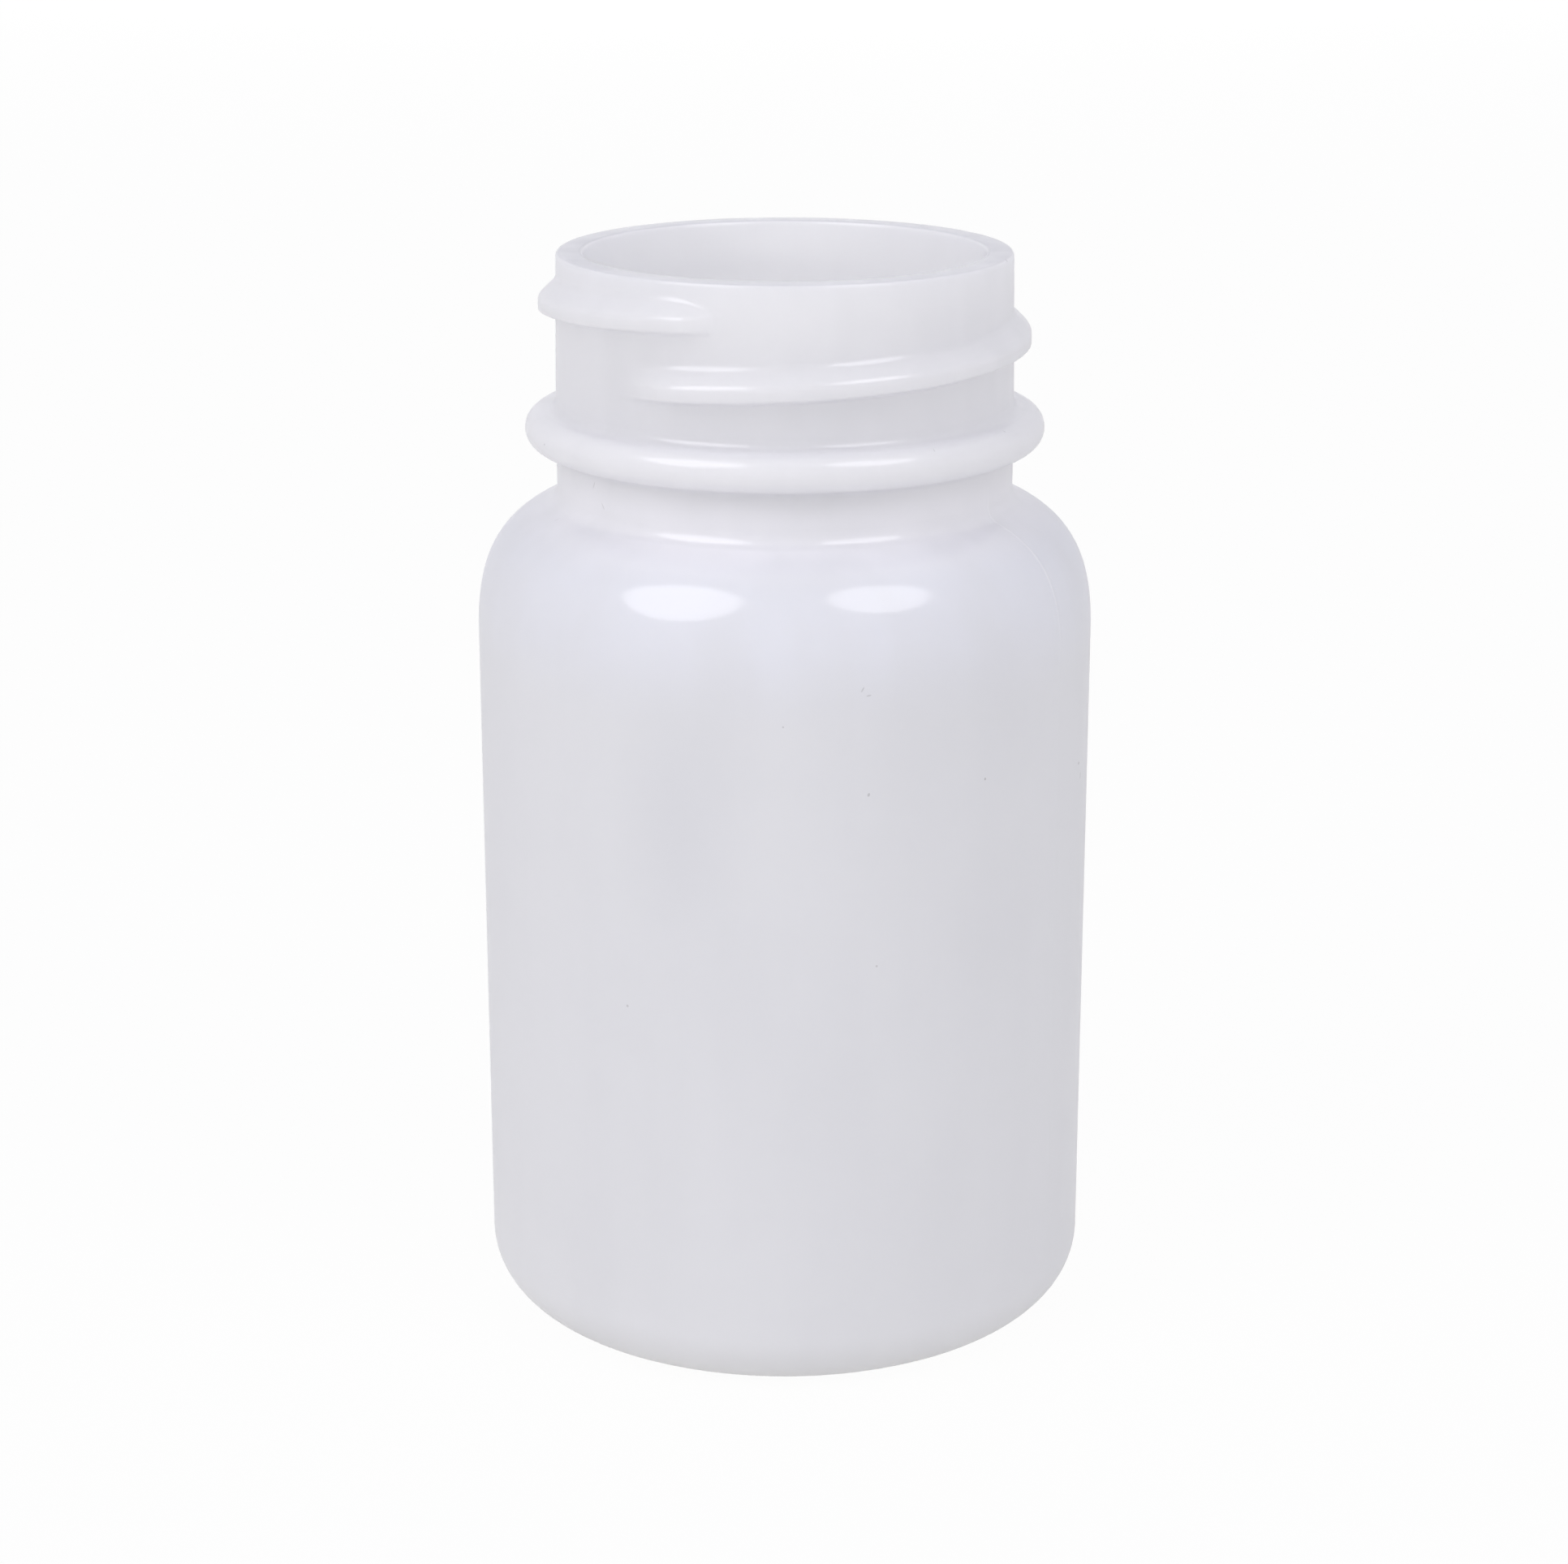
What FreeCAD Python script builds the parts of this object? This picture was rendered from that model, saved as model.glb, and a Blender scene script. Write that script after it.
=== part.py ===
import FreeCAD, Part
import math
import os

# Wide-mouth laboratory bottle, about 60 ml, blow-moulded in one piece from natural high-density polyethylene.
# Its neck is a 33 mm continuous-thread finish with a carrying bead below the thread. The bottle stands on
# Z = 0 with its axis on Z. Azimuth 0 is the front, on -Y, and grows towards +X. Millimetres and degrees.

# Body
BODY_DIAMETER = 40.2
BODY_WALL = 1.0
SIDE_HEIGHT = 46.5  # standing plane to the start of the shoulder
HEEL_RADIUS = 4.2
STANDING_RING_WIDTH = 2.0
PUSH_UP_HEIGHT = 1.2
BASE_THICKNESS = 1.2

# Shoulder
SHOULDER_RISE = 9.4  # end of the straight side to the foot of the neck
SHOULDER_SLOPE = 23.0  # from level, where the neck's fillet takes over
SHOULDER_SIDE_PULL = 4.6  # how far the curve is held to the side's direction
SHOULDER_NECK_PULL = 3.5  # how far it is held to the slope at its top
NECK_FILLET = 1.2

# Neck
NECK_DIAMETER = 29.6
NECK_WALL = 1.9
NECK_HEIGHT = 15.1  # foot of the neck to the rim
RIM_DRAFT = 0.15  # how much the threaded neck's radius shrinks towards the rim
RIM_ROUND = 0.3

# Bead
BEAD_BELOW_RIM = 11.3  # rim to the middle of the bead
BEAD_NOSE_RADIUS = 1.22
BEAD_FLANK = 0.78  # neck to the centre of the nose
BEAD_ROOT_FILLET = 0.6

# Thread: one start, right-hand, six turns to the inch
THREAD_PITCH = 25.4 / 6
THREAD_DEPTH = 1.12
THREAD_CREST = 0.85
THREAD_UPPER_FLANK = 45.0  # from the radial direction
THREAD_LOWER_FLANK = 16.0
THREAD_ROUND = 0.25
THREAD_END_BELOW_RIM = 2.41  # rim to the crest's middle where the thread ends
THREAD_END_AZIMUTH = 344.5
THREAD_SWEEP = 389.0
THREAD_RUN_IN = 14.0
THREAD_RUN_OUT = 16.0

# Modelling values
THREAD_SINK = 0.4  # how deep the thread's section reaches into the neck's wall
THREAD_STEP = 6.0  # angle between two sections of the thread
THREAD_TIP_SHARE = 0.75  # share of the sink that is left at the thread's two tips
LEAST_FLAT = 0.02  # flat that a fillet leaves beside it

# Heights and radii that follow
body_radius = BODY_DIAMETER / 2
neck_radius = NECK_DIAMETER / 2
mouth_radius = neck_radius - NECK_WALL
rim_radius = neck_radius - RIM_DRAFT
heel_centre_radius = body_radius - HEEL_RADIUS
ring_inner_radius = heel_centre_radius - STANDING_RING_WIDTH
neck_foot = SIDE_HEIGHT + SHOULDER_RISE
rim_height = neck_foot + NECK_HEIGHT
bead_height = rim_height - BEAD_BELOW_RIM
bead_root_fillet = min(BEAD_ROOT_FILLET, BEAD_FLANK - LEAST_FLAT)
bead_root_top = bead_height + BEAD_NOSE_RADIUS + bead_root_fillet


def at(radius, height):
    """A point of the wall's section, in the half plane of +X and Z."""
    return FreeCAD.Vector(radius, 0, height)


def line(start, end):
    return Part.LineSegment(start, end).toShape()


def on_circle(centre, radius, angle):
    turn = math.radians(angle)
    return centre + FreeCAD.Vector(radius * math.cos(turn), 0, radius * math.sin(turn))


def arc(centre, radius, start_angle, end_angle):
    angles = (start_angle, (start_angle + end_angle) / 2, end_angle)
    return Part.Arc(*(on_circle(centre, radius, angle) for angle in angles)).toShape()


def curve(*poles):
    bezier = Part.BezierCurve()
    bezier.setPoles(list(poles))
    return bezier.toShape()


def dome(rise, edge_radius, edge_height):
    """A shallow arc from its middle on the axis down to its edge."""
    sphere_radius = (edge_radius**2 + rise**2) / (2 * rise)
    half = edge_radius / 2
    half_drop = sphere_radius - math.sqrt(sphere_radius**2 - half**2)
    top = at(0, edge_height + rise)
    return Part.Arc(top, top + at(half, -half_drop), at(edge_radius, edge_height)).toShape()


def shoulder(wall_at_side, wall_at_neck):
    """The shoulder's curve with its fillet to the neck, set in from the outside by a wall at each end."""
    fillet_centre = at(neck_radius + NECK_FILLET, neck_foot)
    slope_angle = 270 - SHOULDER_SLOPE
    slope = math.radians(SHOULDER_SLOPE)
    start = at(body_radius - wall_at_side, SIDE_HEIGHT)
    end = on_circle(fillet_centre, NECK_FILLET + wall_at_neck, slope_angle)
    outer_end = on_circle(fillet_centre, NECK_FILLET, slope_angle)
    side_pull = SHOULDER_SIDE_PULL * (end.z - SIDE_HEIGHT) / (outer_end.z - SIDE_HEIGHT)
    neck_pull = SHOULDER_NECK_PULL * (start.x - end.x) / (body_radius - outer_end.x)
    side_pole = start + at(0, side_pull)
    neck_pole = end + at(neck_pull * math.cos(slope), -neck_pull * math.sin(slope))
    rise = curve(start, side_pole, neck_pole, end)
    return rise, arc(fillet_centre, NECK_FILLET + wall_at_neck, slope_angle, 180)


def outside():
    """The outer outline, from the middle of the base to the rim's flat land."""
    heel = at(heel_centre_radius, HEEL_RADIUS)
    nose = at(neck_radius + BEAD_FLANK, bead_height)
    root_radius = neck_radius + bead_root_fillet
    lower_root = at(root_radius, bead_height - BEAD_NOSE_RADIUS - bead_root_fillet)
    upper_root = at(root_radius, bead_root_top)
    rim_centre = at(rim_radius - RIM_ROUND, rim_height - RIM_ROUND)
    flank_below = at(0, -BEAD_NOSE_RADIUS)
    flank_above = at(0, BEAD_NOSE_RADIUS)
    return [
        dome(PUSH_UP_HEIGHT, ring_inner_radius, 0),
        line(at(ring_inner_radius, 0), at(heel_centre_radius, 0)),
        arc(heel, HEEL_RADIUS, -90, 0),
        line(at(body_radius, HEEL_RADIUS), at(body_radius, SIDE_HEIGHT)),
        *shoulder(0, 0),
        line(at(neck_radius, neck_foot), at(neck_radius, lower_root.z)),
        arc(lower_root, bead_root_fillet, 180, 90),
        line(at(root_radius, bead_height) + flank_below, nose + flank_below),
        arc(nose, BEAD_NOSE_RADIUS, -90, 90),
        line(nose + flank_above, at(root_radius, bead_height) + flank_above),
        arc(upper_root, bead_root_fillet, 270, 180),
        line(at(neck_radius, bead_root_top), at(rim_radius, rim_centre.z)),
        arc(rim_centre, RIM_ROUND, 0, 90),
    ]


def inside():
    """The inner outline, from the rim's flat land down to the middle of the floor."""
    rim_centre = at(mouth_radius + RIM_ROUND, rim_height - RIM_ROUND)
    inner_radius = body_radius - BODY_WALL
    inner_heel_radius = HEEL_RADIUS - BODY_WALL
    inner_heel = at(inner_radius - inner_heel_radius, BASE_THICKNESS + inner_heel_radius)
    rise, fillet = shoulder(BODY_WALL, NECK_WALL)
    return [
        arc(rim_centre, RIM_ROUND, 90, 180),
        line(at(mouth_radius, rim_centre.z), at(mouth_radius, neck_foot)),
        fillet,
        rise,
        line(at(inner_radius, SIDE_HEIGHT), at(inner_radius, inner_heel.z)),
        arc(inner_heel, inner_heel_radius, 0, -90),
        line(at(inner_heel.x, BASE_THICKNESS), at(ring_inner_radius, BASE_THICKNESS)),
        dome(PUSH_UP_HEIGHT, ring_inner_radius, BASE_THICKNESS),
    ]


def blown_wall():
    """The bottle without its thread: the wall's section, turned round the axis."""
    land = line(at(rim_radius - RIM_ROUND, rim_height), at(mouth_radius + RIM_ROUND, rim_height))
    axis = line(at(0, PUSH_UP_HEIGHT + BASE_THICKNESS), at(0, PUSH_UP_HEIGHT))
    section = Part.Wire(Part.__sortEdges__(outside() + [land] + inside() + [axis]))
    return Part.Face(section).revolve(FreeCAD.Vector(0, 0, 0), FreeCAD.Vector(0, 0, 1), 360)


def rounded_corner(before, corner, after, radius):
    """The two tangent points and the middle of the arc that rounds a corner of a flat outline."""
    to_before = (before - corner).normalize()
    to_after = (after - corner).normalize()
    half = to_before.getAngle(to_after) / 2
    setback = radius / math.tan(half)
    bisector = (to_before + to_after).normalize()
    middle = corner + bisector * (radius / math.sin(half) - radius)
    return corner + to_before * setback, middle, corner + to_after * setback


def thread_section(azimuth, crest_height, share, anchor_height):
    """The thread's outline at one azimuth, shrunk to a share of itself towards a point inside the neck's wall."""
    upper = math.tan(math.radians(THREAD_UPPER_FLANK))
    lower = math.tan(math.radians(THREAD_LOWER_FLANK))
    half = THREAD_CREST / 2
    reach = THREAD_SINK + THREAD_DEPTH
    foot = at(0, -half - reach * lower)
    low_crest = at(reach, -half)
    high_crest = at(reach, half)
    head = at(0, half + reach * upper)
    low_in, low_mid, low_out = rounded_corner(foot, low_crest, high_crest, THREAD_ROUND)
    high_in, high_mid, high_out = rounded_corner(low_crest, high_crest, head, THREAD_ROUND)

    taper = (crest_height - bead_root_top) / (rim_height - bead_root_top)
    root_radius = neck_radius - RIM_DRAFT * taper - THREAD_SINK
    anchor = at(0, anchor_height)

    def placed(point):
        shrunk = anchor + (point - anchor) * share
        section_point = at(root_radius, crest_height) + shrunk
        turn = FreeCAD.Rotation(FreeCAD.Vector(0, 0, 1), azimuth - 90)
        return turn.multVec(section_point)

    foot, low_in, low_mid, low_out = (placed(p) for p in (foot, low_in, low_mid, low_out))
    high_in, high_mid, high_out, head = (placed(p) for p in (high_in, high_mid, high_out, head))
    return Part.Wire([
        line(foot, low_in),
        Part.Arc(low_in, low_mid, low_out).toShape(),
        line(low_out, high_in),
        Part.Arc(high_in, high_mid, high_out).toShape(),
        line(high_out, head),
        line(head, foot),
    ])


def eased(share):
    """Goes from 0 to 1 with level ends."""
    share = min(max(share, 0), 1)
    return share * share * (3 - 2 * share)


def thread():
    """The helical ridge. It grows out of the neck where it starts and thins to a low wedge where it ends."""
    reach = THREAD_SINK + THREAD_DEPTH
    tip_share = THREAD_TIP_SHARE * THREAD_SINK / reach
    lower_edge = -THREAD_CREST / 2 - reach * math.tan(math.radians(THREAD_LOWER_FLANK))
    steps = math.ceil(THREAD_SWEEP / THREAD_STEP)
    sections = []
    for step in range(steps + 1):
        swept = THREAD_SWEEP * step / steps
        left = THREAD_SWEEP - swept
        crest_height = rim_height - THREAD_END_BELOW_RIM - THREAD_PITCH * left / 360
        growth = min(eased(swept / THREAD_RUN_IN), eased(left / THREAD_RUN_OUT))
        share = tip_share + (1 - tip_share) * growth
        anchor_height = 0 if swept < left else lower_edge
        sections.append(thread_section(THREAD_END_AZIMUTH - left, crest_height, share, anchor_height))
    return Part.makeLoft(sections, True, False)


bottle = blown_wall().fuse(thread()).removeSplitter()
os.makedirs("parts", exist_ok=True)
bottle.exportStep("parts/bottle.step")

box = bottle.optimalBoundingBox(False, False)
print(f"bottle: {len(bottle.Solids)} solid, {len(bottle.Faces)} faces, valid {bottle.isValid()}")
print(f"box {box.XLength:.2f} x {box.YLength:.2f} x {box.ZLength:.2f} mm, plastic {bottle.Volume / 1000:.2f} ml")
print(f"mouth {2 * mouth_radius:.2f} mm, over the thread {2 * (neck_radius + THREAD_DEPTH):.2f} mm")
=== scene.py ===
# %% [markdown]
# # A milky wide-mouth bottle
# This lesson dresses a imported CAD model. The object is a small round bottle, blown in one piece from uncoloured
# polyethylene, which is milky because its crystals scatter light. It has one piece, so there is one mesh to
# make. That mesh could be the CAD node itself, but a rounder thread, a parting line and soft roots need denser
# rings than the CAD mesh has. So the bottle is turned again here from the same sizes, and the new mesh stands
# for the CAD node.

# %% Load the CAD model
import math

import bpy
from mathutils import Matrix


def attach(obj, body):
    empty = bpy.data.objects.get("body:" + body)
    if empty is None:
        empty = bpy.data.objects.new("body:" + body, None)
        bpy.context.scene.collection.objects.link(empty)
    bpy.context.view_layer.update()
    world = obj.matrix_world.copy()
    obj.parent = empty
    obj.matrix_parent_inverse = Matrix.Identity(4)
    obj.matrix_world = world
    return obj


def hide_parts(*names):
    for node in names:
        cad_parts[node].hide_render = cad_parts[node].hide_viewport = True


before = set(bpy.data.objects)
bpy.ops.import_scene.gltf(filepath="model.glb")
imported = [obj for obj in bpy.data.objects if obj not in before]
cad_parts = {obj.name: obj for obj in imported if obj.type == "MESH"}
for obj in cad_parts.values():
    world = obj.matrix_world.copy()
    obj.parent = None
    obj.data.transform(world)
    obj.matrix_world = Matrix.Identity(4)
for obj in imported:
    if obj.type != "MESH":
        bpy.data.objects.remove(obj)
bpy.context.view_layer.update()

# %% [markdown]
# ## The half section
# A round bottle is one outline turned about its axis. The outline could be drawn as a handful of points and
# smoothed, but a smoothed outline drifts from its sizes. Straight runs, arcs and one free curve keep every size
# exact, so the pen below has just those three strokes. It works in millimetres, radius first and height second.

# %% A pen with three strokes
MM = 0.001
FULL_TURN = 360.0


def run(start, end, steps=1):
    """Points along a straight run, without its first."""
    return [tuple(a + (b - a) * i / steps for a, b in zip(start, end)) for i in range(1, steps + 1)]


def arc(centre, radius, start, end, steps):
    """Points along an arc between two angles, without its first. Zero is outwards and 90 is up."""
    angles = [math.radians(start + (end - start) * i / steps) for i in range(1, steps + 1)]
    return [(centre[0] + radius * math.cos(a), centre[1] + radius * math.sin(a)) for a in angles]


def curve(a, b, c, d, steps):
    """Points along a cubic curve with poles a, b, c and d, without its first."""
    shares = [i / steps for i in range(1, steps + 1)]
    return [
        tuple((1 - t) ** 3 * p + 3 * (1 - t) ** 2 * t * q + 3 * (1 - t) * t * t * r + t ** 3 * s
              for p, q, r, s in zip(a, b, c, d))
        for t in shares
    ]


print("pen ready: run, arc and curve")

# %% [markdown]
# ## The forms of the bottle
# From below, a blown bottle has a small gate mark in a pushed-up base, so that it stands on a ring and doesn't
# rock. A round heel leads to the straight side. The shoulder swells out of the side and runs flat towards the
# neck, which no single arc follows, so it is the one free curve. A fat bead to carry the bottle by goes round
# the foot of the neck, the thread comes above it, and the rim's land is rounded at both edges. The inside
# repeats the outside at the wall's distance. A Solidify modifier could offset it, but the wall of the neck is
# thicker than the wall of the side, so the inside is drawn too.

# %% The sizes, in millimetres and degrees
BODY_RADIUS = 20.1
BODY_WALL = 1.0
SIDE_HEIGHT = 46.5
HEEL_RADIUS = 4.2
RING_WIDTH = 2.0
PUSH_UP = 1.2
BASE_WALL = 1.2
GATE_RADIUS = 1.6
GATE_HEIGHT = 0.25

SHOULDER_SLOPE = 23.0
SHOULDER_SIDE_PULL = 4.6
SHOULDER_NECK_PULL = 3.5
NECK_FILLET = 1.2

NECK_FOOT = 55.9
NECK_RADIUS = 14.8
NECK_WALL = 1.9
RIM_HEIGHT = 71.0
RIM_RADIUS = 14.65
RIM_ROUND = 0.3

BEAD_HEIGHT = 59.7
BEAD_NOSE = 1.22
BEAD_FLANK = 0.78
BEAD_ROOT = 0.6

mouth_radius = NECK_RADIUS - NECK_WALL
heel_centre = (BODY_RADIUS - HEEL_RADIUS, HEEL_RADIUS)
ring_inside = heel_centre[0] - RING_WIDTH
bead_foot = BEAD_HEIGHT - BEAD_NOSE - BEAD_ROOT
bead_head = BEAD_HEIGHT + BEAD_NOSE + BEAD_ROOT
bead_root_radius = NECK_RADIUS + BEAD_ROOT
bead_nose_radius = NECK_RADIUS + BEAD_FLANK
rim_foot = RIM_HEIGHT - RIM_ROUND
print(f"mouth {2 * mouth_radius:.1f} mm wide, standing ring {2 * ring_inside:.1f} mm wide inside")


# %% The domed base and the shoulder, which come twice
def dome(edge_radius, rise, base, start, steps):
    """Points of a shallow dome under or inside the base, from one radius to its edge."""
    sphere = (edge_radius ** 2 + rise ** 2) / (2 * rise)
    radii = [start + (edge_radius - start) * i / steps for i in range(1, steps + 1)]
    return [(r, base + rise - sphere + math.sqrt(sphere ** 2 - r * r)) for r in radii]


def shoulder(side_wall, neck_wall, steps):
    """The free curve from the side to the fillet under the neck, moved inwards by a wall."""
    side_radius = BODY_RADIUS - side_wall
    fillet = NECK_FILLET + neck_wall
    slope = math.radians(SHOULDER_SLOPE)
    shrink = 1 - side_wall / HEEL_RADIUS / 2  # the inner curve is tighter, so its pull is shorter
    end = (NECK_RADIUS + NECK_FILLET - fillet * math.sin(slope), NECK_FOOT - fillet * math.cos(slope))
    end_pole = (end[0] + SHOULDER_NECK_PULL * math.cos(slope), end[1] - SHOULDER_NECK_PULL * math.sin(slope))
    side_pole = (side_radius, SIDE_HEIGHT + SHOULDER_SIDE_PULL * shrink)
    return curve((side_radius, SIDE_HEIGHT), side_pole, end_pole, end, steps)


OUT = 0.0
UP = 90.0
IN = 180.0
DOWN = 270.0
fillet_centre = (NECK_RADIUS + NECK_FILLET, NECK_FOOT)
fillet_start = DOWN - SHOULDER_SLOPE
print("the shoulder meets the neck's fillet at", fillet_start, "degrees")

# %% Draw the outside, from the middle of the base to the rim
GATE_STEPS = 3
PUSH_UP_STEPS = 14
RING_STEPS = 4
HEEL_STEPS = 14
SIDE_STEPS = 8
SHOULDER_STEPS = 26
FILLET_STEPS = 10
FOOT_STEPS = 4
ROOT_STEPS = 6
NOSE_STEPS = 20
RIM_STEPS = 5
THREAD_ROW = 0.072
thread_rows = round((rim_foot - bead_head) / THREAD_ROW)

outline = [(0.0, PUSH_UP - GATE_HEIGHT)]
outline += run(outline[-1], (GATE_RADIUS - GATE_HEIGHT, PUSH_UP - GATE_HEIGHT), GATE_STEPS)
outline += dome(ring_inside, PUSH_UP, 0.0, GATE_RADIUS, PUSH_UP_STEPS)
outline += run(outline[-1], (heel_centre[0], 0.0), RING_STEPS)
outline += arc(heel_centre, HEEL_RADIUS, DOWN, FULL_TURN, HEEL_STEPS)
outline += run(outline[-1], (BODY_RADIUS, SIDE_HEIGHT), SIDE_STEPS)
outline += shoulder(0.0, 0.0, SHOULDER_STEPS)
outline += arc(fillet_centre, NECK_FILLET, fillet_start, IN, FILLET_STEPS)
outline += run(outline[-1], (NECK_RADIUS, bead_foot), FOOT_STEPS)
outline += arc((bead_root_radius, bead_foot), BEAD_ROOT, IN, UP, ROOT_STEPS)
outline += run(outline[-1], (bead_nose_radius, BEAD_HEIGHT - BEAD_NOSE))
outline += arc((bead_nose_radius, BEAD_HEIGHT), BEAD_NOSE, DOWN, FULL_TURN + UP, NOSE_STEPS)
outline += run(outline[-1], (bead_root_radius, BEAD_HEIGHT + BEAD_NOSE))
outline += arc((bead_root_radius, bead_head), BEAD_ROOT, DOWN, IN, ROOT_STEPS)
outline += run(outline[-1], (RIM_RADIUS, rim_foot), thread_rows)
outline += arc((RIM_RADIUS - RIM_ROUND, rim_foot), RIM_ROUND, OUT, UP, RIM_STEPS)
print(len(outline), "points outside, of which", thread_rows, "rows carry the thread")

# %% Draw the inside, from the rim to the middle of the floor
LAND_STEPS = 4
BORE_STEPS = 6
INNER_FILLET_STEPS = 7
INNER_SHOULDER_STEPS = 16
INNER_SIDE_STEPS = 6
INNER_HEEL_STEPS = 9
INNER_RING_STEPS = 2
INNER_FLOOR_STEPS = 9

inner_radius = BODY_RADIUS - BODY_WALL
inner_heel = HEEL_RADIUS - BODY_WALL
inner_heel_centre = (heel_centre[0], BASE_WALL + inner_heel)
inner_shoulder = shoulder(BODY_WALL, NECK_WALL, INNER_SHOULDER_STEPS)
inner_floor = dome(ring_inside, PUSH_UP, BASE_WALL, 0.0, INNER_FLOOR_STEPS)

outline += run(outline[-1], (mouth_radius + RIM_ROUND, RIM_HEIGHT), LAND_STEPS)
outline += arc((mouth_radius + RIM_ROUND, rim_foot), RIM_ROUND, UP, IN, RIM_STEPS)
outline += run(outline[-1], (mouth_radius, NECK_FOOT), BORE_STEPS)
outline += arc(fillet_centre, NECK_FILLET + NECK_WALL, IN, fillet_start, INNER_FILLET_STEPS)
outline += inner_shoulder[-2::-1]
outline += run(outline[-1], (inner_radius, SIDE_HEIGHT))
outline += run(outline[-1], (inner_radius, inner_heel_centre[1]), INNER_SIDE_STEPS)
outline += arc(inner_heel_centre, inner_heel, FULL_TURN, DOWN, INNER_HEEL_STEPS)
outline += run(outline[-1], (ring_inside, BASE_WALL), INNER_RING_STEPS)
outline += inner_floor[-2::-1]
outline += [(0.0, BASE_WALL + PUSH_UP)]
print(len(outline), "points in the closed half section")

# %% [markdown]
# ## Turning the bottle
# With the outline ready, the modelling is what a hand would do: put down one vertex, extrude it from point to
# point, and spin the chain about the axis. The spin leaves a doubled seam and doubled poles, so doubles are
# merged, and the faces are then turned outwards. A screw modifier would do too, but the spin gives a mesh that
# can be edited at once.

# %% Spin the half section
COLUMNS = 288
SAME_PLACE = 1e-6

bpy.ops.object.select_all(action="DESELECT")
bpy.ops.mesh.primitive_plane_add(size=MM, location=(0.0, 0.0, 0.0))
bottle = bpy.context.object
bottle.name = "bottle_moulding"
bottle.data.name = "bottle_moulding"
bpy.ops.object.mode_set(mode="EDIT")
bpy.ops.mesh.merge(type="CENTER")
bpy.ops.transform.translate(value=(outline[0][0] * MM, 0.0, outline[0][1] * MM))
for (radius, height), (next_radius, next_height) in zip(outline, outline[1:]):
    step = ((next_radius - radius) * MM, 0.0, (next_height - height) * MM)
    bpy.ops.mesh.extrude_vertices_move(TRANSFORM_OT_translate={"value": step})
bpy.ops.mesh.select_all(action="SELECT")
bpy.ops.mesh.spin(steps=COLUMNS, angle=math.tau, center=(0.0, 0.0, 0.0), axis=(0.0, 0.0, 1.0))
bpy.ops.mesh.select_all(action="SELECT")
bpy.ops.mesh.remove_doubles(threshold=SAME_PLACE)
bpy.ops.mesh.normals_make_consistent(inside=False)
bpy.ops.object.mode_set(mode="OBJECT")
print("turned:", len(bottle.data.vertices), "vertices,", len(bottle.data.polygons), "faces")

# %% [markdown]
# ## The parting line
# The two halves of the mould meet in a plane, and leave a hair of plastic standing along it. It could be
# painted as bump, but real height also catches light in the exported mesh. Two cuts close beside the plane keep
# the ridge narrow, and a Displace modifier lifts the vertices between them by the weights of a vertex group.
# The line is strongest on the shoulder, where the plastic was stretched least, and thins out on the side.


# %% Weigh vertices and lift them
def azimuth(place):
    """Degrees round the bottle: 0 faces the camera and 90 is at its right."""
    return math.degrees(math.atan2(place.x, -place.y)) % FULL_TURN


def smooth(share):
    """Goes from 0 to 1 with level ends."""
    share = min(max(share, 0.0), 1.0)
    return share * share * (3 - 2 * share)


def weigh(piece, name, weight):
    """Adds a vertex group that holds weight(vertex) where that is above zero."""
    group = piece.vertex_groups.new(name=name)
    for vertex in piece.data.vertices:
        value = weight(vertex)
        if value > 0:
            group.add([vertex.index], value, "REPLACE")
    return group


def lift(piece, group, height):
    """Moves the vertices of a group outwards, by their weight's share of a height in millimetres."""
    raised = piece.modifiers.new(group.name, "DISPLACE")
    raised.vertex_group = group.name
    raised.direction = "NORMAL"
    raised.mid_level = 0.0
    raised.strength = height * MM
    bpy.ops.object.modifier_apply(modifier=raised.name)


print("weights and lifts ready")

# %% Cut beside the parting plane and lift the line
PARTING_AZIMUTH = 60.0
PARTING_HALF_WIDTH = 0.35
PARTING_HEIGHT = 0.06
PARTING_SIDE_SHARE = 0.3
PARTING_LOW = 6.0
PARTING_HIGH = 57.4
PARTING_FADE = 3.0
ANGLE_MATCH = 0.05
HALF_TURN = FULL_TURN / 2
QUARTER_TURN = FULL_TURN / 4


def parting_weight(vertex):
    """One on the parting plane's outer line, fading towards the heel and the bead."""
    turn = azimuth(vertex.co) - PARTING_AZIMUTH
    off_plane = abs((turn + QUARTER_TURN) % HALF_TURN - QUARTER_TURN)
    outwards = vertex.normal.x * vertex.co.x + vertex.normal.y * vertex.co.y
    if off_plane > ANGLE_MATCH or outwards <= 0:
        return 0.0
    height = vertex.co.z / MM
    share = PARTING_SIDE_SHARE + (1 - PARTING_SIDE_SHARE) * smooth((height - SIDE_HEIGHT) / PARTING_FADE)
    foot_fade = smooth((height - PARTING_LOW) / PARTING_FADE)
    head_fade = smooth((PARTING_HIGH - height) / PARTING_FADE)
    return share * foot_fade * head_fade


bpy.ops.object.mode_set(mode="EDIT")
for side in (-PARTING_HALF_WIDTH, PARTING_HALF_WIDTH):
    across = math.radians(PARTING_AZIMUTH + side)
    plane_normal = (math.cos(across), math.sin(across), 0.0)
    bpy.ops.mesh.select_all(action="SELECT")
    bpy.ops.mesh.bisect(plane_co=(0.0, 0.0, 0.0), plane_no=plane_normal, threshold=SAME_PLACE)
bpy.ops.object.mode_set(mode="OBJECT")
parting_line = weigh(bottle, "parting_line", parting_weight)
lift(bottle, parting_line, PARTING_HEIGHT)
print("parting line at", PARTING_AZIMUTH, "degrees, now", len(bottle.data.vertices), "vertices")

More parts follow.
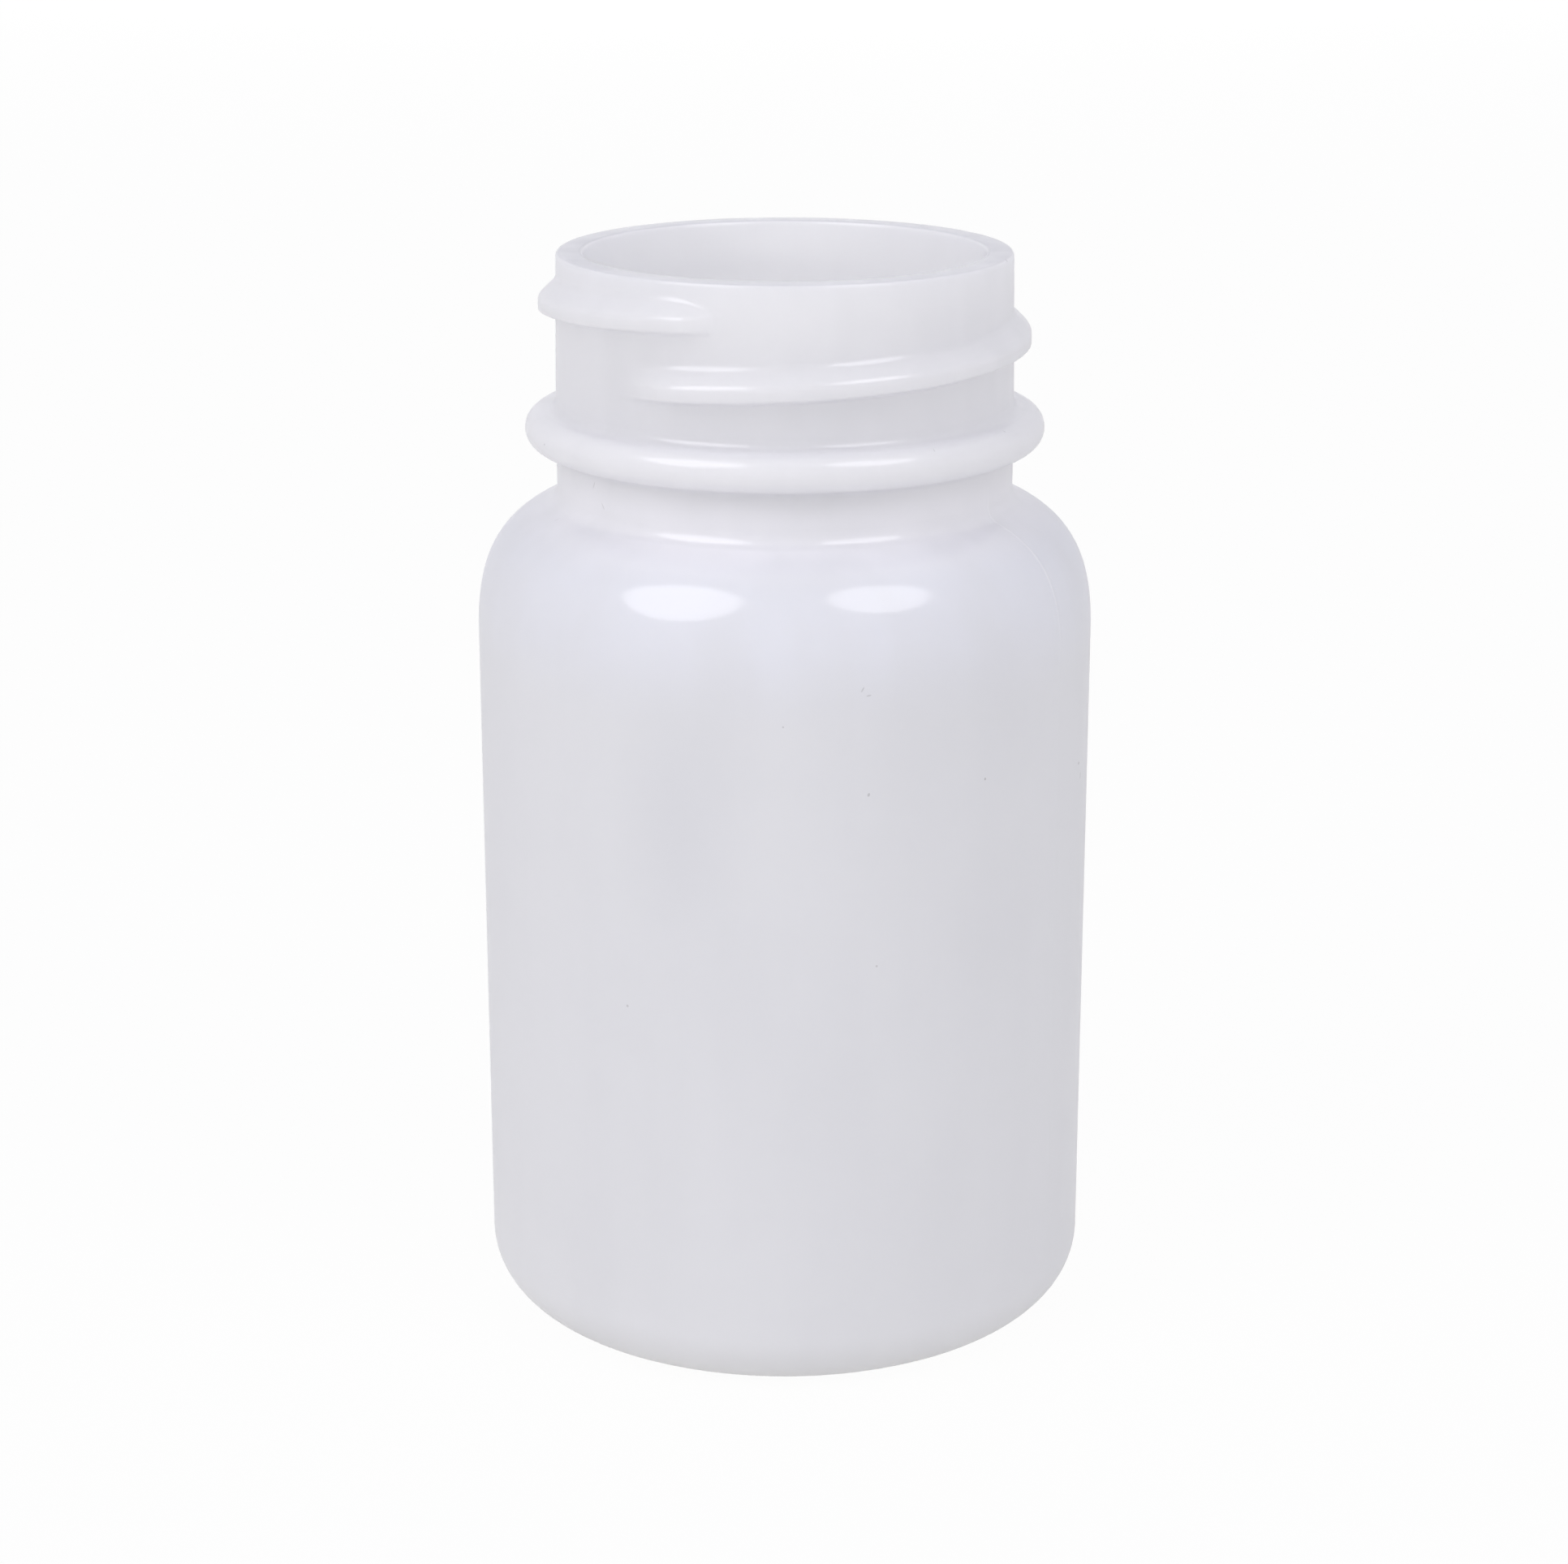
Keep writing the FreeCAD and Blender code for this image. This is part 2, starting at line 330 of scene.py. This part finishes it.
# %% [markdown]
# ## The thread
# A blown thread is a soft ridge that climbs once round the neck and a little more. Its upper flank slopes, its
# lower one is steep, its corners are round, and it grows out of the neck at one end and thins to a wedge at the
# other. A swept profile joined by a boolean would leave hard roots. The rings of the neck are close enough
# together to lift the ridge out of them instead, so the height of the thread over each vertex becomes a weight,
# and the roots come out rounded.

# %% The thread's section
THREAD_DEPTH = 1.12
THREAD_CREST = 0.85
THREAD_UPPER_FLANK = 45.0
THREAD_LOWER_FLANK = 16.0
THREAD_SINK = 0.4
CREST_ROUND = 0.22
ROOT_ROUND = 0.28


def soft_min(a, b, rounding):
    """The smaller of two heights, with the corner between them rounded."""
    near = max(rounding - abs(a - b), 0.0) / rounding
    return min(a, b) - near * near * rounding / 4


def ridge(offset, lean):
    """Height of the thread at an offset above its crest's middle, with the upper flank's lean scaled."""
    reach = THREAD_SINK + THREAD_DEPTH
    upper = lean * math.tan(math.radians(THREAD_UPPER_FLANK))
    lower = math.tan(math.radians(THREAD_LOWER_FLANK))
    above = (THREAD_CREST / 2 + reach * upper - offset) / upper
    below = (offset + THREAD_CREST / 2 + reach * lower) / lower
    height = soft_min(soft_min(above, reach, CREST_ROUND), below, CREST_ROUND)
    return -soft_min(THREAD_SINK - height, 0.0, ROOT_ROUND)


print(f"the ridge stands {ridge(0.0, 1.0):.2f} mm over the neck")

# %% Lift the thread out of the neck
INCH = 25.4
THREADS_PER_INCH = 6
THREAD_PITCH = INCH / THREADS_PER_INCH
THREAD_END_DROP = 2.41
THREAD_END_HEIGHT = RIM_HEIGHT - THREAD_END_DROP
THREAD_END_AZIMUTH = 344.5
THREAD_SWEEP = 389.0
THREAD_RUN_IN = 20.0
THREAD_RUN_OUT = 16.0
THREAD_BLUNT = 9.0
TIP_LEAN = 0.12
THREAD_TURNS = (-1, 0)


def thread_weight(vertex):
    """The thread's share of its full depth over a vertex of the neck."""
    height = vertex.co.z / MM
    radius = math.hypot(vertex.co.x, vertex.co.y) / MM
    if not bead_head < height < rim_foot or radius < mouth_radius + RIM_ROUND:
        return 0.0
    tallest = 0.0
    for turn in THREAD_TURNS:
        left = THREAD_END_AZIMUTH - azimuth(vertex.co) - turn * FULL_TURN
        if not 0 <= left <= THREAD_SWEEP:
            continue
        lean = TIP_LEAN + (1 - TIP_LEAN) * math.sin(math.pi / 2 * min(left / THREAD_RUN_OUT, 1.0))
        crest = THREAD_END_HEIGHT - THREAD_PITCH * left / FULL_TURN
        fade = smooth((THREAD_SWEEP - left) / THREAD_RUN_IN) * smooth(left / THREAD_BLUNT)
        rise = fade * ridge(height - crest, lean)
        tallest = max(tallest, rise)
    return min(tallest / THREAD_DEPTH, 1.0)


neck_thread = weigh(bottle, "neck_thread", thread_weight)
lift(bottle, neck_thread, THREAD_DEPTH)
bottle.vertex_groups.clear()
bpy.ops.object.shade_smooth()
widest = max(math.hypot(v.co.x, v.co.y) for v in bottle.data.vertices if v.co.z > bead_head * MM)
triangles = sum(len(face.vertices) - 2 for face in bottle.data.polygons)
print(f"over the thread {2 * widest / MM:.2f} mm, {triangles} triangles in the piece")

# %% [markdown]
# ## The inner wall
# The inside of a milky bottle is lit through its wall, so the plastic has to know which side of the wall a
# point is on. A second material slot could say so, with a hard edge at the rim. An attribute on the vertices
# says it more softly. Inner walls face the axis, and the floor inside looks up from low down. What stands
# level, such as the rim's land and the flanks of the bead, counts as outside.

# %% Tell the inner wall from the outer
INNER_WALL = "inner_wall"
FLOOR_ZONE = 30.0
INNER_START = 1.0
INNER_FULL = 4.0


def inner_weight(vertex):
    """One on the inner wall and on the floor inside, else zero."""
    low = min(vertex.co.z - FLOOR_ZONE * MM, 0.0)
    inwards = -(vertex.normal.x * vertex.co.x + vertex.normal.y * vertex.co.y + vertex.normal.z * low) / MM
    return smooth((inwards - INNER_START) / (INNER_FULL - INNER_START))


inner_wall = bottle.data.attributes.new(INNER_WALL, "FLOAT", "POINT")
for vertex in bottle.data.vertices:
    inner_wall.data[vertex.index].value = inner_weight(vertex)
print("inner wall:", sum(1 for entry in inner_wall.data if entry.value > 0), "vertices")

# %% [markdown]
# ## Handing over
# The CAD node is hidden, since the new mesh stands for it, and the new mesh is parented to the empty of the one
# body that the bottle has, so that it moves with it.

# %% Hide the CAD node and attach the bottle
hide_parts("bottle")
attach(bottle, "root")
print(bottle.name, "handed over")

# %% [markdown]
# ## Writing shaders as sums
# Node trees are easier to read as arithmetic. The small class below wraps a socket, so that a plus or a times
# adds a Math node, and one method adds any other node from its type, its settings and its sockets.


# %% A socket that does arithmetic
class Value:
    """An output socket of a node tree."""

    def __init__(self, shop, socket):
        self.shop = shop
        self.socket = socket

    def reckon(self, operation, first, second):
        return self.shop.add("ShaderNodeMath", {"operation": operation}, {0: first, 1: second})

    def __add__(self, other):
        return self.reckon("ADD", self, other)

    def __sub__(self, other):
        return self.reckon("SUBTRACT", self, other)

    def __rsub__(self, other):
        return self.reckon("SUBTRACT", other, self)

    def __mul__(self, other):
        return self.reckon("MULTIPLY", self, other)

    def __abs__(self):
        return self.reckon("ABSOLUTE", self, 0.0)

    def at_least(self, other):
        return self.reckon("MAXIMUM", self, other)

    __radd__ = __add__
    __rmul__ = __mul__


print("sums ready")


# %% A shop that adds nodes
class Shop:
    """Adds nodes to one node tree."""

    def __init__(self, tree):
        self.tree = tree
        tree.nodes.clear()

    def add(self, kind, settings=None, sockets=None, output=0):
        node = self.tree.nodes.new(kind)
        for name, value in (settings or {}).items():
            setattr(node, name, value)
        for name, value in (sockets or {}).items():
            if isinstance(value, Value):
                self.tree.links.new(value.socket, node.inputs[name])
            else:
                node.inputs[name].default_value = value
        return Value(self, node.outputs[output]) if node.outputs else node

    def stretch(self, value, low, high, start=0.0, end=1.0):
        """Maps low to high onto start to end, with level ends."""
        sockets = {"Value": value, "From Min": low, "From Max": high, "To Min": start, "To Max": end}
        return self.add("ShaderNodeMapRange", {"interpolation_type": "SMOOTHSTEP"}, sockets)

    def blend(self, share, first, second):
        """Mixes two colours."""
        return self.add("ShaderNodeMix", {"data_type": "RGBA"}, {0: share, 6: first, 7: second}, output=2)


print("shader helpers ready")

# %% [markdown]
# ## The milky plastic
# Natural polyethylene has no pigment. Light enters it, wanders and leaves again somewhere else, so the wall
# glows softly and no shape shows through it. Glass or a thin sheet would let shapes through, so the shader is a
# satin plastic with subsurface scattering. A flat colour would look like paint. Real resin has faint clouds
# where it flowed, upright streaks where it was drawn down into the mould, and a fine skin, and three noises on
# Object coordinates give those.

# %% Clouds, streaks and skin
plastic = bpy.data.materials.new("natural_hdpe_skin")
plastic.use_nodes = True
shop = Shop(plastic.node_tree)
place = shop.add("ShaderNodeTexCoord", output="Object")
height = shop.add("ShaderNodeSeparateXYZ", {}, {0: place}, output="Z")
inner_share = shop.add("ShaderNodeAttribute", {"attribute_name": INNER_WALL}, output="Fac")

CLOUDS = {"Vector": place, "Scale": 75.0, "Detail": 3.0, "Roughness": 0.55}
DRAWN_DOWN = (1.0, 1.0, 0.08)
upright = shop.add("ShaderNodeMapping", {}, {"Vector": place, "Scale": DRAWN_DOWN})
STREAKS = {"Vector": upright, "Scale": 210.0, "Detail": 2.0}
SKIN = {"Vector": place, "Scale": 900.0, "Detail": 2.0}
clouds = shop.add("ShaderNodeTexNoise", {}, CLOUDS)
streaks = shop.add("ShaderNodeTexNoise", {}, STREAKS)
skin = shop.add("ShaderNodeTexNoise", {}, SKIN)
print("three noises for the resin")

# %% [markdown]
# ## Tints and painted light from the base to the rim
# One resin, painted differently along the bottle. The side is a cool grey white. The shoulder is bluer, a
# painted reflection of the sky above it. The neck is paler, a painted glow of its thick wall, and its tint
# reaches down over the fillet, where it paints light into the shade under the bead. The inside is palest, painted
# light that comes through the wall. The land of the rim is darker grey, painted shade on a face that looks up,
# where little light falls from straight above. Five materials would leave edges where they meet. Colours blended
# by height and by the inner wall melt into each other.

# %% Tint the zones
SIDE_WHITE = (0.812, 0.815, 0.829, 1.0)
# The shoulder's bluer tint is a painted reflection of the sky above it.
SHOULDER_WHITE_AND_PAINTED_SKY = (0.824, 0.832, 0.872, 1.0)
# The neck's paler tint is a painted glow of its thick wall.
NECK_WHITE_AND_PAINTED_GLOW = (0.88, 0.875, 0.905, 1.0)
# The inside's palest tint is painted light that comes through the wall.
INNER_WHITE_AND_PAINTED_LIGHT = (0.975, 0.972, 0.99, 1.0)
# The rim land's darker grey is painted shade on a face that looks up.
RIM_PAINTED_SHADE_GREY = (0.60, 0.60, 0.63, 1.0)
SHOULDER_ZONE = (44.0, 50.0)
# The neck's zone starts below the fillet, so its tint also paints light into the shade under the bead.
NECK_ZONE = (52.6, 55.2)
RIM_ZONE = (70.88, 70.99)


def up_through(zone, start=0.0, end=1.0):
    """How far a point has come up through a zone of heights in millimetres."""
    return shop.stretch(height, zone[0] * MM, zone[1] * MM, start, end)


# Painted sky reflection on the shoulder.
white = shop.blend(up_through(SHOULDER_ZONE), SIDE_WHITE, SHOULDER_WHITE_AND_PAINTED_SKY)
# Painted glow on the neck, and painted light in the shade under the bead.
white = shop.blend(up_through(NECK_ZONE), white, NECK_WHITE_AND_PAINTED_GLOW)
# Painted light on the inner wall.
white = shop.blend(inner_share, white, INNER_WHITE_AND_PAINTED_LIGHT)
# Painted shade on the land of the rim.
white = shop.blend(up_through(RIM_ZONE), white, RIM_PAINTED_SHADE_GREY)
print("five tints blended")

# %% Add the clouds
CLOUD_GREY = (0.78, 0.783, 0.80, 1.0)
CLOUD_PART = 0.6
STREAK_PART = 0.4
CLOUD_LOW = 0.42
CLOUD_HIGH = 0.62
CLOUD_STRENGTH = 0.5
INNER_CALM = 0.8

flow = clouds * CLOUD_PART + streaks * STREAK_PART
cloud_share = shop.stretch(flow, CLOUD_LOW, CLOUD_HIGH, 0.0, CLOUD_STRENGTH) * (1 - inner_share * INNER_CALM)
white = shop.blend(cloud_share, white, CLOUD_GREY)
print("clouds blended in, calmer inside")

# %% [markdown]
# ## A painted highlight on the seam, a grey band and small marks
# The thin hair of the parting line shows pale on the shoulder, and that pale line is a painted highlight. On the
# left of the side a tall band is painted a little greyer. A used bottle also has specks of dust and short scuffs.
# Random specks would be easy, but these sit at listed places. Each one is an ellipse on the skin: a Mapping node
# brings the point into the ellipse's own space, where its distance from the middle is one at the edge.

# %% Pale seam, a painted highlight
# A painted highlight along the parting line on the shoulder.
SEAM_PAINTED_HIGHLIGHT = (0.97, 0.97, 0.99, 1.0)
SEAM_CORE = 0.04
SEAM_EDGE = 0.11
SEAM_STRENGTH = 0.55
SEAM_FOOT = (46.5, 52.5)
SEAM_HEAD = (54.5, 57.5)

across = math.radians(PARTING_AZIMUTH)
plane_normal = (math.cos(across), math.sin(across), 0.0)
place_and_normal = {0: place, 1: plane_normal}
off_plane = shop.add("ShaderNodeVectorMath", {"operation": "DOT_PRODUCT"}, place_and_normal, output="Value")
seam_share = shop.stretch(abs(off_plane), SEAM_CORE * MM, SEAM_EDGE * MM, SEAM_STRENGTH, 0.0)
seam_share = seam_share * up_through(SEAM_FOOT) * up_through(SEAM_HEAD, 1.0, 0.0)
# Painted highlight on the seam.
white = shop.blend(seam_share, white, SEAM_PAINTED_HIGHLIGHT)
print("seam painted from", SEAM_FOOT[0], "to", SEAM_HEAD[1], "mm")

# %% Grey band
# A tall band on the left of the side, painted a little greyer.
BAND = (-19.0, 20.1, 38.5, 5.4, 13.0, 0.0)
BAND_GREY = (0.766, 0.77, 0.79, 1.0)
BAND_STRENGTH = 0.85
LEAST_DEPTH = 0.35


def reach_from(turn, radius, up, half_width, half_length, lean):
    """Distance from a place on the skin, where one is the edge of an ellipse about it."""
    turn = math.radians(turn)
    centre = (radius * MM * math.sin(turn), -radius * MM * math.cos(turn), up * MM)
    half_depth = max(LEAST_DEPTH, half_width)
    ellipse = {
        "Vector": place,
        "Location": centre,
        "Rotation": (0.0, math.radians(lean), turn),
        "Scale": (half_width * MM, half_depth * MM, half_length * MM),
    }
    local = shop.add("ShaderNodeMapping", {"vector_type": "TEXTURE"}, ellipse)
    return shop.add("ShaderNodeVectorMath", {"operation": "LENGTH"}, {0: local}, output="Value")


band_share = shop.stretch(reach_from(*BAND), 0.0, 1.0, BAND_STRENGTH, 0.0)
white = shop.blend(band_share, white, BAND_GREY)
print("band", 2 * BAND[3], "by", 2 * BAND[4], "mm")

# %% Specks and scuffs
MARK_GREY = (0.22, 0.21, 0.21, 1.0)
MARK_CORE = 0.55
# Azimuth, radius and height of the middle, half width and half length, lean in degrees, and strength.
MARKS = [
    (14.8, 20.1, 40.5, 0.099, 0.144, 20.0, 0.35),
    (16.5, 20.1, 29.3, 0.09, 0.09, 0.0, 0.3),
    (-29.5, 20.1, 26.0, 0.108, 0.108, 0.0, 0.3),
    (38.3, 20.1, 40.4, 0.09, 0.108, 0.0, 0.41),
    (-0.3, 20.1, 45.0, 0.081, 0.081, 0.0, 0.26),
    (13.6, 20.1, 47.2, 0.063, 0.225, 30.0, 0.26),
    (14.7, 20.1, 46.8, 0.198, 0.063, -10.0, 0.26),
    (71.5, 20.1, 38.6, 0.162, 0.126, 0.0, 0.41),
    (73.1, 20.1, 37.6, 0.09, 0.315, 0.0, 0.3),
    (-53.9, 14.8, 57.5, 0.054, 0.315, 25.0, 0.22),
    (-50.2, 14.85, 56.3, 0.054, 0.315, -35.0, 0.22),
    (-67.3, 15.65, 54.5, 0.063, 0.36, 20.0, 0.22),
    (-49.5, 18.6, 51.6, 0.072, 0.225, 10.0, 0.2),
    (-64.1, 16.8, 59.8, 0.081, 0.081, 0.0, 0.35),
    (38.7, 15.5, 61.0, 0.081, 0.081, 0.0, 0.41),
    (34.1, 16.1, 60.65, 0.054, 0.162, 10.0, 0.26),
    (58.9, 15.9, 60.8, 0.072, 0.09, 0.0, 0.3),
    (34.7, 15.9, 64.45, 0.063, 0.108, 0.0, 0.26),
    (72.9, 14.5, 70.9, 0.09, 0.108, 0.0, 0.41),
]

mark_share = 0.0
for *where, strength in MARKS:
    this_share = shop.stretch(reach_from(*where), MARK_CORE, 1.0, strength, 0.0)
    mark_share = this_share.at_least(mark_share)
white = shop.blend(mark_share, white, MARK_GREY)
print(len(MARKS), "specks and scuffs")

# %% [markdown]
# ## Gloss and reach
# The skin has a soft sheen under sharper glints, and its edges don't brighten much as they turn away. A plain
# specular layer brightens at the edges, so it is turned low, and a thin coat with a high index, which changes
# little with the angle, gives the glints. The scattered light needs two reaches. A long one lets the thick neck
# glow and lights the inside through the wall, but it drains the thin side. A short one keeps the side's colour
# near what is written. So the plastic is made twice and mixed by where the point lies.

# %% Sheen and fine relief
SKIN_GLOSS = 0.50
CLOUD_GLOSS = 0.10
STREAK_GLOSS = 0.06
RELIEF_STRENGTH = 0.12
RELIEF_DEPTH = 0.05
STREAK_RELIEF = 2.0

even_gloss = SKIN_GLOSS - (CLOUD_GLOSS + STREAK_GLOSS) / 2
gloss = clouds * CLOUD_GLOSS + streaks * STREAK_GLOSS + even_gloss
relief = skin + streaks * STREAK_RELIEF
relief_sockets = {"Strength": RELIEF_STRENGTH, "Distance": RELIEF_DEPTH * MM, "Height": relief}
bump = shop.add("ShaderNodeBump", {}, relief_sockets)
print("roughness about", SKIN_GLOSS)

# %% Two reaches of scattered light
SIDE_REACH = 0.8
DEEP_REACH = 9.0
DEEP_ZONE = (56.2, 59.0)
PLASTIC_INDEX = 1.5
PLASTIC_SPECULAR = 0.05
COAT_WEIGHT = 0.28
COAT_ROUGHNESS = 0.12
COAT_INDEX = 4.0


def skin_with(reach):
    """The plastic, with a reach of its scattered light in millimetres."""
    return shop.add("ShaderNodeBsdfPrincipled", {}, {
        "Base Color": white,
        "Roughness": gloss,
        "Normal": bump,
        "IOR": PLASTIC_INDEX,
        "Specular IOR Level": PLASTIC_SPECULAR,
        "Coat Weight": COAT_WEIGHT,
        "Coat Roughness": COAT_ROUGHNESS,
        "Coat IOR": COAT_INDEX,
        "Subsurface Weight": 1.0,
        "Subsurface Radius": (reach * MM, reach * MM, reach * MM),
        "Subsurface Scale": 1.0,
    })


deep_share = up_through(DEEP_ZONE).at_least(inner_share)
both = shop.add("ShaderNodeMixShader", {}, {0: deep_share, 1: skin_with(SIDE_REACH), 2: skin_with(DEEP_REACH)})
shop.add("ShaderNodeOutputMaterial", {}, {"Surface": both})
bottle.data.materials.clear()
bottle.data.materials.append(plastic)
print("plastic:", len(plastic.node_tree.nodes), "nodes")

# %% [markdown]
# ## The studio
# The bottle stands on a white sweep in a white room. Enough light to burn the sweep white would burn the bottle
# too. So the floor and the world show plain white to the camera and to reflections, and light the bottle at a
# lower level. A share of the floor stays plain paper, which keeps the shadow. The floor lies a hair below the
# standing ring, so that the two faces don't share a plane.

# %% Lay the floor
FLOOR_SIDE = 6.0
FLOOR_GAP = 0.05
FLOOR_WHITE = (0.825, 0.818, 0.78, 1.0)
PURE_WHITE = (1.0, 1.0, 1.0, 1.0)
FLOOR_GLOW = 0.96
SEEN_RAYS = ("Is Camera Ray", "Is Glossy Ray", "Is Transmission Ray")


def seen(shop):
    """One for the camera, for reflections and for what passes through, else zero."""
    rays = [shop.add("ShaderNodeLightPath", output=name) for name in SEEN_RAYS]
    return shop.add("ShaderNodeClamp", {}, {"Value": rays[0] + rays[1] + rays[2]})


bpy.ops.object.select_all(action="DESELECT")
bpy.ops.mesh.primitive_plane_add(size=FLOOR_SIDE, location=(0.0, 0.0, -FLOOR_GAP * MM))
floor = bpy.context.object
floor.name = "studio_floor"
paper = bpy.data.materials.new("floor_paper")
paper.use_nodes = True
shop = Shop(paper.node_tree)
matt = shop.add("ShaderNodeBsdfDiffuse", {}, {"Color": FLOOR_WHITE})
glow = shop.add("ShaderNodeEmission", {}, {"Color": PURE_WHITE, "Strength": 1.0})
mixed = shop.add("ShaderNodeMixShader", {}, {0: seen(shop) * FLOOR_GLOW, 1: matt, 2: glow})
shop.add("ShaderNodeOutputMaterial", {}, {"Surface": mixed})
floor.data.materials.append(paper)
print("floor", FLOOR_SIDE, "m wide")

# %% Light the room
WORLD_BACK = 0.37
WORLD_FRONT = 0.52
SKY_SIDE = (0.98, 0.96, 1.0, 1.0)
SKY_TOP = (0.78, 0.80, 1.0, 1.0)
SKY_SPAN = 0.9

world = bpy.data.worlds.new("studio_world")
bpy.context.scene.world = world
world.use_nodes = True
shop = Shop(world.node_tree)
way = shop.add("ShaderNodeTexCoord", output="Generated")
backwards = shop.add("ShaderNodeSeparateXYZ", {}, {0: way}, output="Y")
upwards = shop.add("ShaderNodeSeparateXYZ", {}, {0: way}, output="Z")
facing = 0.5 - backwards * 0.5
soft = facing * facing * (WORLD_FRONT - WORLD_BACK) + WORLD_BACK
shown = seen(shop)
level = shown + (1 - shown) * soft
tint = shop.blend(shop.stretch(upwards, 0.0, SKY_SPAN), SKY_SIDE, SKY_TOP)
tint = shop.blend(shown, tint, PURE_WHITE)
sky = shop.add("ShaderNodeBackground", {}, {"Color": tint, "Strength": level})
shop.add("ShaderNodeOutputWorld", {}, {"Surface": sky})
print("room lit from", WORLD_BACK, "behind to", WORLD_FRONT, "in front")

# %% [markdown]
# ## The lamps
# Two soft boxes stand left and right of the camera, the left one stronger, and make the two glints on the
# shoulder and along the bead. They are round, because a square one would show its corners there. Lower down,
# fills brighten the side and the hollows under the ridges, and one behind the bottle shines through the wall of
# the neck. Fills would add glints that such a bottle doesn't show, so they are hidden from gloss. The one
# behind stands further off, because the floor behind a lamp's face is darker, and that edge would show in the
# picture.

# %% Set the lamps
LAMP_AIM = 0.045
LAMP_DISTANCE = 0.7
BACK_DISTANCE = 1.5
KEY_COLOUR = (0.98, 0.968, 1.0)
FILL_COLOUR = (1.0, 0.99, 0.98)


def soft_box(name, turn, rise, side, power, glints=True, away=LAMP_DISTANCE):
    """A round lamp at an azimuth and an elevation, turned towards the bottle."""
    bpy.ops.object.light_add(type="AREA")
    lamp = bpy.context.object
    lamp.name = name
    lamp.data.shape = "DISK"
    lamp.data.size = side
    lamp.data.energy = power
    lamp.data.color = KEY_COLOUR if glints else FILL_COLOUR
    turn = math.radians(turn)
    rise = math.radians(rise)
    out = away * math.cos(rise)
    lamp.location = (out * math.sin(turn), -out * math.cos(turn), LAMP_AIM + away * math.sin(rise))
    lamp.rotation_euler = (math.pi / 2 - rise, 0.0, turn)
    lamp.visible_glossy = glints


# Name, azimuth and elevation in degrees, width in metres, and watts.
soft_box("left_soft_box", -50.0, 46.0, 0.50, 0.82)
soft_box("right_soft_box", 49.0, 51.0, 0.40, 0.50)
soft_box("left_fill", -52.0, 22.0, 0.45, 1.14, glints=False)
soft_box("right_fill", 52.0, 22.0, 0.45, 0.9, glints=False)
soft_box("front_fill", 0.0, 50.0, 0.40, 0.2, glints=False)
soft_box("back_fill", 180.0, 10.0, 0.51, 8.5, glints=False, away=BACK_DISTANCE)

# %% [markdown]
# ## The camera
# The camera's place was worked out from the ellipses of the rim, the bead and the base, which fix how far away
# and how high it stood. It looks down on the bottle by about 17 degrees through a lens a little longer than a
# portrait's. Light crosses the bore and the wall many times, so a few more bounces are allowed than usual.

# %% Set the camera
CAMERA_DISTANCE = 0.226236
CAMERA_HEIGHT = 0.104698
CAMERA_DOWN = 17.037
SENSOR_WIDTH = 36.0
FRAME_WIDTH = 1932
FOCAL_PIXELS = 4360.712
AXIS_SHIFT = -1.0
NEAR_CLIP = 0.01
BOUNCES = 8

bpy.ops.object.camera_add(location=(0.0, -CAMERA_DISTANCE, CAMERA_HEIGHT))
camera = bpy.context.object
camera.rotation_euler = (math.radians(QUARTER_TURN - CAMERA_DOWN), 0.0, 0.0)
camera.data.sensor_width = SENSOR_WIDTH
camera.data.lens = SENSOR_WIDTH * FOCAL_PIXELS / FRAME_WIDTH
camera.data.shift_x = AXIS_SHIFT / FRAME_WIDTH
camera.data.clip_start = NEAR_CLIP
bpy.context.scene.camera = camera
bpy.context.scene.cycles.diffuse_bounces = BOUNCES
bpy.context.scene.view_settings.view_transform = "Standard"
print(f"lens {camera.data.lens:.2f} mm")
